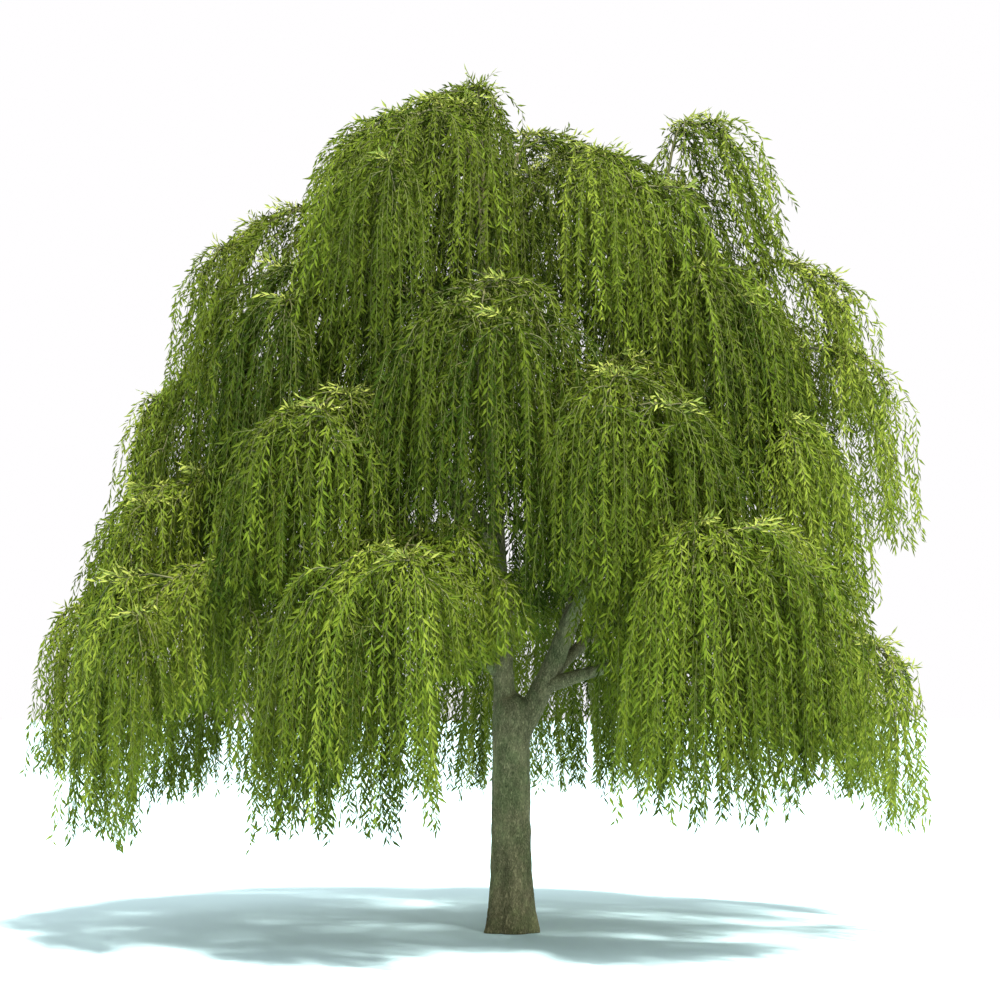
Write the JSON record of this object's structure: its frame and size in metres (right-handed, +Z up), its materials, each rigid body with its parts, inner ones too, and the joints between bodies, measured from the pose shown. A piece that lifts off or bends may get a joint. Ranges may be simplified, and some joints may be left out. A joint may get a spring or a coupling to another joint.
{
  "type": "willow tree",
  "caption": "Weeping willow tree: a tapering trunk forks into two leaders, and arching boughs carry hanging masses of leafy withes down to head height all round.",
  "frame": {"origin": "middle of the flat cut under the trunk, at ground level", "axes": "+Z up along the trunk, -Y towards the front of the tree, +X to the right as seen from the front"},
  "size_m": [10.6434, 10.1679, 9.9559],
  "materials": {
    "bark": "rough, furrowed grey-brown bark with an olive tint",
    "foliage": "fresh yellow-green to deep green narrow leaves, satin"
  },
  "bodies": {
    "root": {"bough_arm_back_left": "bark", "bough_arm_back_right": "bark", "bough_arm_front_left": "bark", "bough_arm_front_right": "bark", "bough_arm_left": "bark", "bough_arm_right": "bark", "bough_crown_back": "bark", "bough_crown_front": "bark", "bough_crown_front_right": "bark", "bough_crown_left": "bark", "bough_elbow_left": "bark", "bough_elbow_right": "bark", "bough_shoulder_back_left": "bark", "bough_shoulder_back_right": "bark", "bough_shoulder_front": "bark", "bough_shoulder_front_left": "bark", "bough_shoulder_front_right": "bark", "bough_shoulder_left": "bark", "bough_shoulder_right": "bark", "bough_skirt_back": "bark", "bough_skirt_back_left": "bark", "bough_skirt_back_right": "bark", "bough_skirt_front": "bark", "bough_skirt_front_left": "bark", "bough_skirt_front_right": "bark", "bough_skirt_left": "bark", "bough_skirt_right": "bark", "leader_centre": "bark", "leader_right": "bark", "trunk": "bark", "foliage_arm_back_left": "foliage", "foliage_arm_back_right": "foliage", "foliage_arm_front_left": "foliage", "foliage_arm_front_right": "foliage", "foliage_arm_left": "foliage", "foliage_arm_right": "foliage", "foliage_crown_back": "foliage", "foliage_crown_front": "foliage", "foliage_crown_front_right": "foliage", "foliage_crown_left": "foliage", "foliage_crown_right": "foliage", "foliage_crown_top": "foliage", "foliage_elbow_left": "foliage", "foliage_elbow_right": "foliage", "foliage_shoulder_back_left": "foliage", "foliage_shoulder_back_right": "foliage", "foliage_shoulder_front": "foliage", "foliage_shoulder_front_left": "foliage", "foliage_shoulder_front_right": "foliage", "foliage_shoulder_left": "foliage", "foliage_shoulder_right": "foliage", "foliage_skirt_back": "foliage", "foliage_skirt_back_left": "foliage", "foliage_skirt_back_right": "foliage", "foliage_skirt_front": "foliage", "foliage_skirt_front_left": "foliage", "foliage_skirt_front_right": "foliage", "foliage_skirt_left": "foliage", "foliage_skirt_right": "foliage"}
  },
  "joints": []
}
